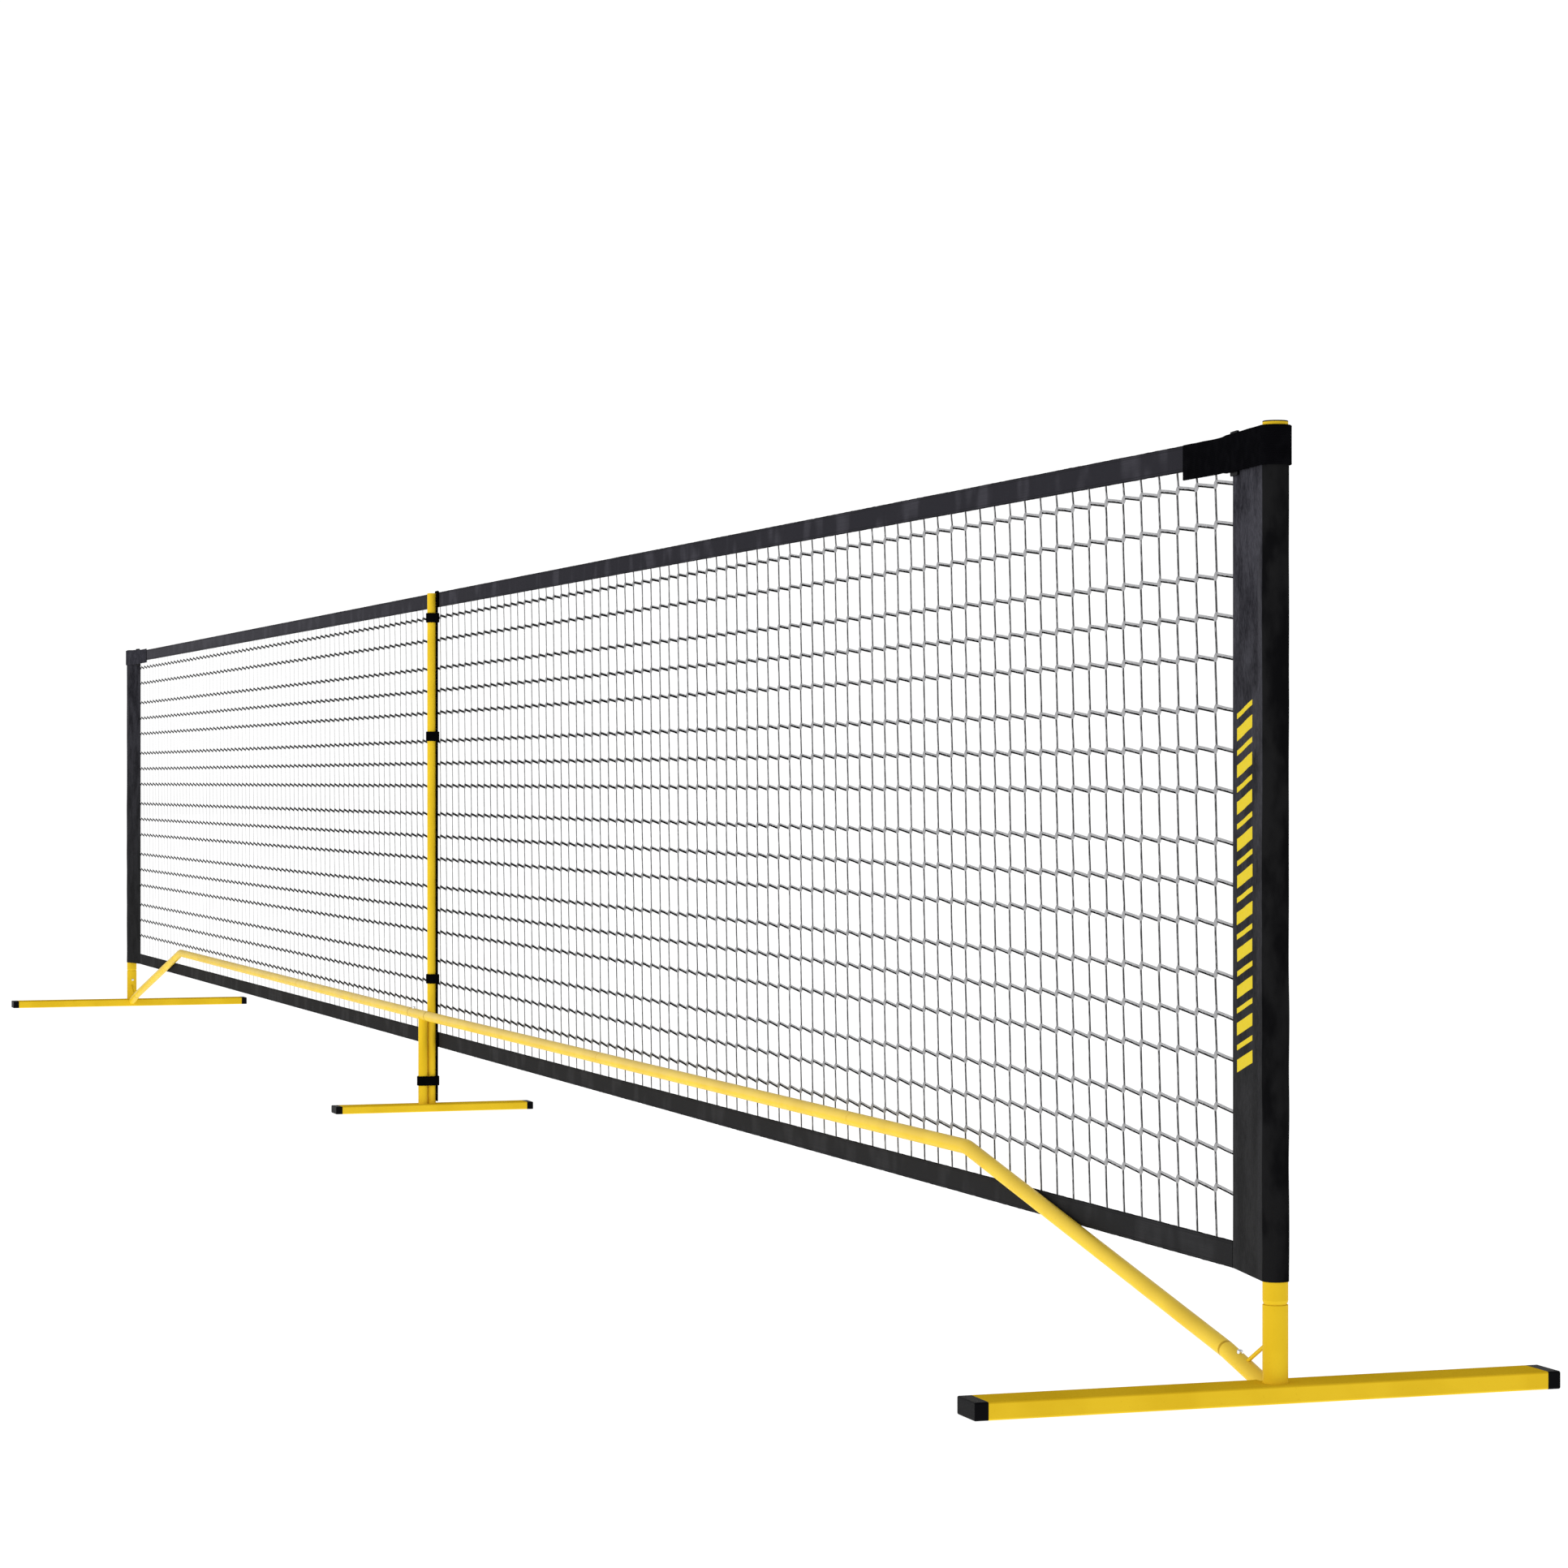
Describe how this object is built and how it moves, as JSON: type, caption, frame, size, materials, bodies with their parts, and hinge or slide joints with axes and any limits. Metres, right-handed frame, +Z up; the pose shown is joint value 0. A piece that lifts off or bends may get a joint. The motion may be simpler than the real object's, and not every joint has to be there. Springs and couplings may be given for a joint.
{
  "type": "portable court net",
  "caption": "Free-standing court net: netting with bound edges and end sleeves on a steel tube frame with crosswise feet, crossbars and snap buttons.",
  "frame": {"origin": "on the floor under the middle of the net, midway between the two posts, on their common plane", "axes": "+X along the net towards the near end, +Z up, -Y towards the side the crossbar and ties are on"},
  "size_m": [6.751, 0.6013, 0.912],
  "materials": {
    "yellow_paint": "satin yellow powder coat on steel tube",
    "cap_plastic": "moulded black plastic",
    "ring_plastic": "moulded black plastic",
    "button_chrome": "bright plated steel",
    "spring_steel": "plain spring steel strip",
    "net_cord": "knotless black polyethylene cord",
    "band_fabric": "charcoal woven binding",
    "sleeve_fabric": "charcoal polyester pocket with a yellow band",
    "webbing": "black hook-and-loop webbing"
  },
  "bodies": {
    "frame": {"bottom_band": "band_fabric", "centre_foot_caps": "cap_plastic", "centre_foot_tube": "yellow_paint", "centre_strap": "webbing", "centre_stub": "yellow_paint", "far_bar_inner_tube": "yellow_paint", "far_bar_middle_tube": "yellow_paint", "far_bar_outer_tube": "yellow_paint", "far_bar_socket": "yellow_paint", "far_brace_rod": "yellow_paint", "far_corner_strap": "webbing", "far_foot_caps": "cap_plastic", "far_foot_tube": "yellow_paint", "far_post": "yellow_paint", "far_post_plug": "cap_plastic", "far_post_socket": "yellow_paint", "far_sleeve": "sleeve_fabric", "far_strap_ring": "ring_plastic", "near_bar_inner_tube": "yellow_paint", "near_bar_middle_tube": "yellow_paint", "near_bar_outer_tube": "yellow_paint", "near_bar_socket": "yellow_paint", "near_brace_rod": "yellow_paint", "near_corner_strap": "webbing", "near_foot_caps": "cap_plastic", "near_foot_tube": "yellow_paint", "near_post": "yellow_paint", "near_post_plug": "cap_plastic", "near_post_socket": "yellow_paint", "near_sleeve": "sleeve_fabric", "near_strap_ring": "ring_plastic", "net_mesh": "net_cord", "tee_sleeve": "yellow_paint", "tie_1": "webbing", "tie_2": "webbing", "tie_3": "webbing", "tie_4": "webbing", "top_band": "band_fabric"},
    "near_post_button_body": {"near_post_button": "button_chrome", "near_post_button_spring": "spring_steel"},
    "near_bar_button_body": {"near_bar_button": "button_chrome", "near_bar_button_spring": "spring_steel"},
    "far_post_button_body": {"far_post_button": "button_chrome", "far_post_button_spring": "spring_steel"},
    "far_bar_button_body": {"far_bar_button": "button_chrome", "far_bar_button_spring": "spring_steel"},
    "tee_button_body": {"tee_button": "button_chrome", "tee_button_spring": "spring_steel"},
    "centre_pole_body": {"centre_pole": "yellow_paint"},
    "near_tail_body": {"near_strap_tail": "webbing"},
    "far_tail_body": {"far_strap_tail": "webbing"},
    "tab_1_body": {"tie_tab_1": "webbing"},
    "tab_2_body": {"tie_tab_2": "webbing"},
    "tab_3_body": {"tie_tab_3": "webbing"},
    "tab_4_body": {"tie_tab_4": "webbing"}
  },
  "joints": [
    {"name": "near_post_button_press", "type": "slide", "parent": "frame", "child": "near_post_button_body", "axis": [1, 0, 0], "range_m": [0, 0.0042], "stiffness_N_per_m": 60, "springref_m": -0.003, "deforming": ["near_post_button_spring"]},
    {"name": "near_bar_button_press", "type": "slide", "parent": "frame", "child": "near_bar_button_body", "axis": [-0.2504, -0.0016, -0.9681], "range_m": [0, 0.0042], "stiffness_N_per_m": 60, "springref_m": -0.003, "deforming": ["near_bar_button_spring"]},
    {"name": "far_post_button_press", "type": "slide", "parent": "frame", "child": "far_post_button_body", "axis": [-1, 0, 0], "range_m": [0, 0.0042], "stiffness_N_per_m": 60, "springref_m": -0.003, "deforming": ["far_post_button_spring"]},
    {"name": "far_bar_button_press", "type": "slide", "parent": "frame", "child": "far_bar_button_body", "axis": [0.2504, -0.0016, -0.9681], "range_m": [0, 0.0042], "stiffness_N_per_m": 60, "springref_m": -0.003, "deforming": ["far_bar_button_spring"]},
    {"name": "tee_button_press", "type": "slide", "parent": "frame", "child": "tee_button_body", "axis": [0, 0, -1], "range_m": [0, 0.0042], "stiffness_N_per_m": 60, "springref_m": -0.003, "deforming": ["tee_button_spring"]},
    {"name": "centre_pole_lift", "type": "slide", "parent": "frame", "child": "centre_pole_body", "axis": [0, 0, 1], "range_m": [0, 0.15]},
    {"name": "near_tail_peel", "type": "hinge", "parent": "frame", "child": "near_tail_body", "pos_m": [3.24905, -0.00035, 0.8882], "axis": [0, 0, 1], "range_deg": [0, 75], "stiffness_Nm_per_rad": 0.004},
    {"name": "far_tail_peel", "type": "hinge", "parent": "frame", "child": "far_tail_body", "pos_m": [-3.24905, -0.00035, 0.8909], "axis": [0, 0, -1], "range_deg": [0, 75], "stiffness_Nm_per_rad": 0.004},
    {"name": "tab_1_peel", "type": "hinge", "parent": "frame", "child": "tab_1_body", "pos_m": [-0.0153, -0.0089, 0.86115], "axis": [0, 0, 1], "range_deg": [0, 80], "stiffness_Nm_per_rad": 0.0005},
    {"name": "tab_2_peel", "type": "hinge", "parent": "frame", "child": "tab_2_body", "pos_m": [-0.0153, -0.0089, 0.65415], "axis": [0, 0, 1], "range_deg": [0, 80], "stiffness_Nm_per_rad": 0.0005},
    {"name": "tab_3_peel", "type": "hinge", "parent": "frame", "child": "tab_3_body", "pos_m": [-0.0153, -0.0089, 0.23065], "axis": [0, 0, 1], "range_deg": [0, 80], "stiffness_Nm_per_rad": 0.0005},
    {"name": "tab_4_peel", "type": "hinge", "parent": "frame", "child": "tab_4_body", "pos_m": [-0.0153, -0.0089, 0.05295], "axis": [0, 0, 1], "range_deg": [0, 80], "stiffness_Nm_per_rad": 0.0005}
  ]
}
